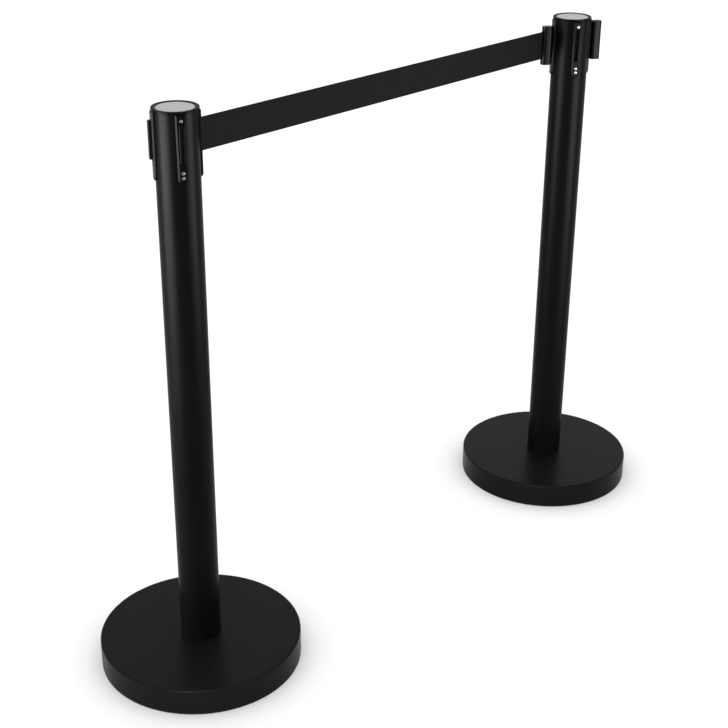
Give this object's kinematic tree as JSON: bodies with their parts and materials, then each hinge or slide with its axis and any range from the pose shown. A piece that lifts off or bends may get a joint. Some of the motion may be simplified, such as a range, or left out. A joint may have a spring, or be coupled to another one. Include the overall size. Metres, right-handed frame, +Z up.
{
  "type": "retractable belt stanchion",
  "caption": "Two weighted floor posts with slotted heads, joined by a spring-retracted belt that latches into a post and winds into a cassette.",
  "frame": {"origin": "on the floor, midway between the axes of the two posts", "axes": "+Z up, +X from the feed post to the receiver post, so the belt runs along X"},
  "size_m": [1.2, 0.32, 0.9],
  "materials": {
    "black_steel": "satin",
    "cement": "matte",
    "floor_rubber": "matte",
    "zinc_steel": "satin",
    "screw_steel": "satin",
    "spring_steel": "satin",
    "black_plastic": "satin",
    "cassette_plastic": "matte",
    "spool_plastic": "matte",
    "belt_webbing": "matte",
    "disc_metal": "satin"
  },
  "bodies": {
    "feed_post": {"feed_back_bracket": "black_steel", "feed_base_bolt": "zinc_steel", "feed_base_cover": "black_steel", "feed_base_washer": "zinc_steel", "feed_base_weight": "cement", "feed_belt_guides": "screw_steel", "feed_bracket_screws": "screw_steel", "feed_cap_disc": "disc_metal", "feed_cap_ring": "black_plastic", "feed_cassette_housing": "cassette_plastic", "feed_cassette_lid": "cassette_plastic", "feed_floor_ring": "floor_rubber", "feed_front_bracket": "black_steel", "feed_left_bracket": "black_steel", "feed_lid_screws": "screw_steel", "feed_outlet_bracket": "black_steel", "feed_post_tube": "black_steel", "feed_retract_spring": "spring_steel", "feed_spool_axle": "screw_steel", "feed_tube_foot": "zinc_steel", "belt_span": "belt_webbing"},
    "feed_reel": {"feed_spool": "spool_plastic", "feed_belt_coil": "belt_webbing"},
    "receiver_post": {"receiver_back_bracket": "black_steel", "receiver_base_bolt": "zinc_steel", "receiver_base_cover": "black_steel", "receiver_base_washer": "zinc_steel", "receiver_base_weight": "cement", "receiver_belt_guides": "screw_steel", "receiver_bracket_screws": "screw_steel", "receiver_cap_disc": "disc_metal", "receiver_cap_ring": "black_plastic", "receiver_cassette_housing": "cassette_plastic", "receiver_cassette_lid": "cassette_plastic", "receiver_floor_ring": "floor_rubber", "receiver_front_bracket": "black_steel", "receiver_left_bracket": "black_steel", "receiver_lid_screws": "screw_steel", "receiver_outlet_bracket": "black_steel", "receiver_post_tube": "black_steel", "receiver_retract_spring": "spring_steel", "receiver_spool_axle": "screw_steel", "receiver_tube_foot": "zinc_steel", "parked_belt": "belt_webbing"},
    "receiver_reel": {"receiver_spool": "spool_plastic", "receiver_belt_coil": "belt_webbing"},
    "latched_end": {"latched_clip": "black_plastic", "latched_clip_pin": "screw_steel"},
    "parked_end": {"parked_clip": "black_plastic", "parked_clip_pin": "screw_steel"},
    "left_plug": {"left_slot_plug": "black_plastic"},
    "front_plug": {"front_slot_plug": "black_plastic"}
  },
  "joints": [
    {"name": "post_spacing", "type": "slide", "parent": "feed_post", "child": "receiver_post", "axis": [1, 0, 0], "range_m": [-0.53, 1.1], "deforming": ["belt_span"]},
    {"name": "feed_reel_spin", "type": "hinge", "parent": "feed_post", "child": "feed_reel", "pos_m": [-0.44, 0, 0.8575], "axis": [0, 0, 1], "range_deg": [-1825, 3785], "deforming": ["feed_retract_spring"]},
    {"name": "clip_lift", "type": "slide", "parent": "receiver_post", "child": "latched_end", "axis": [0, 0, 1], "range_m": [0, 0.0068], "deforming": ["belt_span"]},
    {"name": "parked_belt_pull", "type": "slide", "parent": "receiver_post", "child": "parked_end", "axis": [0.8339, -0.5519, 0], "range_m": [0, 1.9], "stiffness_N_per_m": 1.2, "springref_m": -2.5, "deforming": ["parked_belt"]},
    {"name": "receiver_reel_spin", "type": "hinge", "parent": "receiver_post", "child": "receiver_reel", "pos_m": [0.44, 0, 0.8575], "axis": [0, 0, 1], "range_deg": [0, 5450], "deforming": ["receiver_retract_spring"]},
    {"name": "left_plug_pull", "type": "slide", "parent": "feed_post", "child": "left_plug", "axis": [-0.8988, 0.4384, 0], "range_m": [0, 0.012]},
    {"name": "front_plug_pull", "type": "slide", "parent": "feed_post", "child": "front_plug", "axis": [-0.4384, -0.8988, 0], "range_m": [0, 0.012]}
  ],
  "couplings": [
    {"joint": "feed_reel_spin", "follows": "post_spacing", "rad_per_m": 60},
    {"joint": "receiver_reel_spin", "follows": "parked_belt_pull", "rad_per_m": 50}
  ]
}
